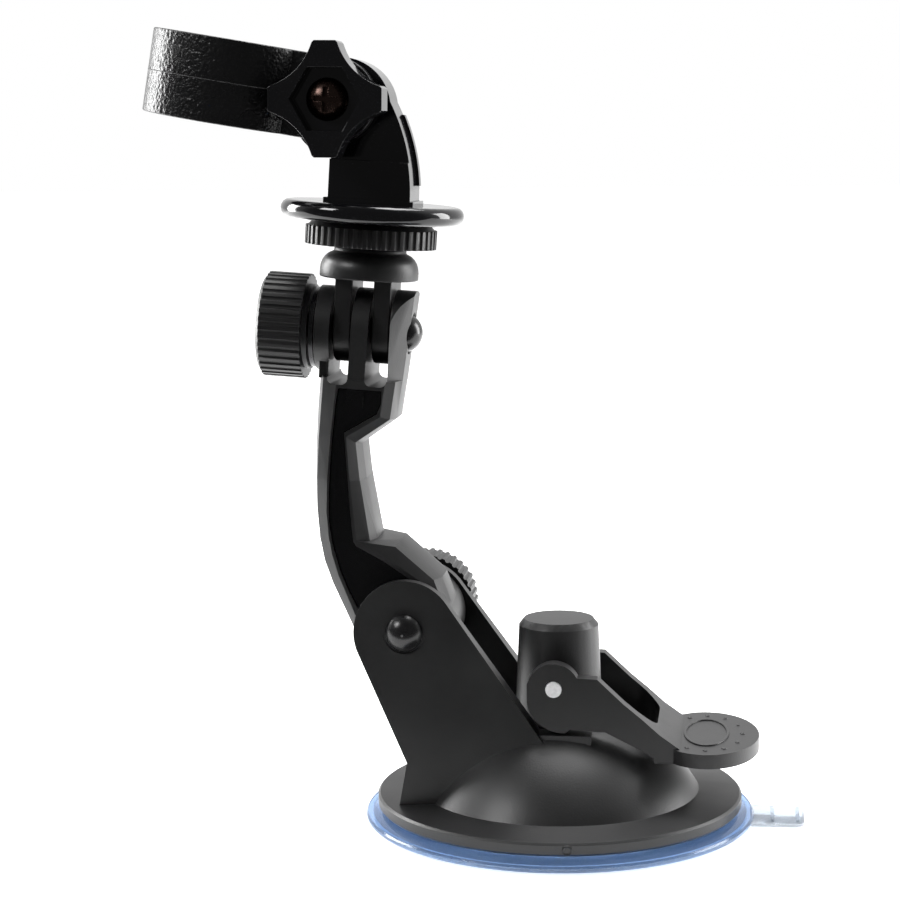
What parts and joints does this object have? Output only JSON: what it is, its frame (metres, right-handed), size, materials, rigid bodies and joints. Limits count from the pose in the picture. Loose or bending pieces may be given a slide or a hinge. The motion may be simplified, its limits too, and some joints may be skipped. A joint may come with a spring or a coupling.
{
  "type": "suction cup car mount",
  "caption": "Car camera mount: lever-locked suction cup, tilting arm, two-prong head on a fork, lock wheel, turning elbow bracket and a ring clamp with a star knob.",
  "frame": {"origin": "centre of the suction cup's sealing face", "axes": "+Z away from the surface the cup sits on, +X towards the lever's thumb pad, the arm stands on the -X side, bolt heads face -Y"},
  "size_m": [0.1244, 0.074, 0.1496],
  "materials": {
    "soft_cup": "translucent soft elastomer, smooth",
    "housing_plastic": "fine moulded texture",
    "plunger_plastic": "fine moulded texture",
    "lever_plastic": "fine moulded texture",
    "arm_plastic": "fine moulded texture",
    "cover_gloss": "smooth gloss",
    "knob_plastic": "ribbed, fine texture",
    "head_plastic": "satin",
    "bracket_gloss": "smooth gloss",
    "star_gloss": "smooth gloss",
    "ring_grain": "leather-like moulded grain",
    "black_steel": "black oxide, semi-gloss",
    "pin_steel": "bright drawn steel",
    "zinc_steel": "zinc plated",
    "spring_steel": "spring wire",
    "insert_brass": "turned"
  },
  "bodies": {
    "base": {"suction_cup": "soft_cup", "base_housing": "housing_plastic", "return_spring": "spring_steel", "lower_bolt": "black_steel", "lower_washer": "zinc_steel"},
    "plunger": {"plunger_post": "plunger_plastic", "plunger_core": "plunger_plastic", "plunger_screw": "zinc_steel", "lever_pin": "pin_steel"},
    "lever": {"cam_lever": "lever_plastic"},
    "lower_nut": {"lower_knob": "knob_plastic", "lower_knob_insert": "insert_brass"},
    "arm_body": {"arm": "arm_plastic", "arm_front_cover": "cover_gloss", "arm_back_cover": "cover_gloss", "upper_bolt": "black_steel", "upper_washer": "zinc_steel"},
    "upper_nut": {"upper_knob": "knob_plastic", "upper_knob_insert": "insert_brass"},
    "head_body": {"head": "head_plastic", "tripod_stud": "zinc_steel"},
    "wheel": {"lock_wheel": "head_plastic", "wheel_insert": "insert_brass"},
    "bracket_body": {"bracket": "bracket_gloss", "bracket_insert": "insert_brass"},
    "ring": {"ring_clamp": "ring_grain"},
    "star": {"star_knob": "star_gloss", "clamp_screw": "black_steel", "clamp_washer": "zinc_steel", "clamp_nut": "zinc_steel"}
  },
  "joints": [
    {"name": "plunger_lift", "type": "slide", "parent": "base", "child": "plunger", "axis": [0, 0, 1], "range_m": [-0.0033, 0], "deforming": ["return_spring", "suction_cup"]},
    {"name": "lever_swing", "type": "hinge", "parent": "plunger", "child": "lever", "pos_m": [0, 0, 0.0272], "axis": [0, -1, 0], "range_deg": [0, 90]},
    {"name": "arm_tilt", "type": "hinge", "parent": "base", "child": "arm_body", "pos_m": [-0.0279, 0, 0.0373], "axis": [0, 1, 0], "range_deg": [-60, 50]},
    {"name": "lower_knob_spin", "type": "hinge", "parent": "base", "child": "lower_nut", "pos_m": [-0.0279, 0, 0.0373], "axis": [0, 1, 0], "continuous": true},
    {"name": "head_tilt", "type": "hinge", "parent": "arm_body", "child": "head_body", "pos_m": [-0.03625, 0, 0.09282], "axis": [0.9976, 0, -0.0698], "range_deg": [-85, 85]},
    {"name": "upper_knob_spin", "type": "hinge", "parent": "arm_body", "child": "upper_nut", "pos_m": [-0.03625, 0, 0.09282], "axis": [0.9976, 0, -0.0698], "continuous": true},
    {"name": "lock_wheel_spin", "type": "hinge", "parent": "head_body", "child": "wheel", "pos_m": [-0.03496, 0, 0.11127], "axis": [0.0698, 0, 0.9976], "continuous": true},
    {"name": "bracket_pan", "type": "hinge", "parent": "head_body", "child": "bracket_body", "pos_m": [-0.03482, 0, 0.11327], "axis": [0.0698, 0, 0.9976], "continuous": true},
    {"name": "ring_tilt", "type": "hinge", "parent": "bracket_body", "child": "ring", "pos_m": [-0.04027, 0, 0.1356], "axis": [0, 1, 0], "range_deg": [-40, 90]},
    {"name": "star_knob_spin", "type": "hinge", "parent": "bracket_body", "child": "star", "pos_m": [-0.04027, 0, 0.1356], "axis": [0, 1, 0], "continuous": true}
  ],
  "couplings": [
    {"joint": "plunger_lift", "follows": "lever_swing", "m_per_rad": -0.0021008}
  ]
}
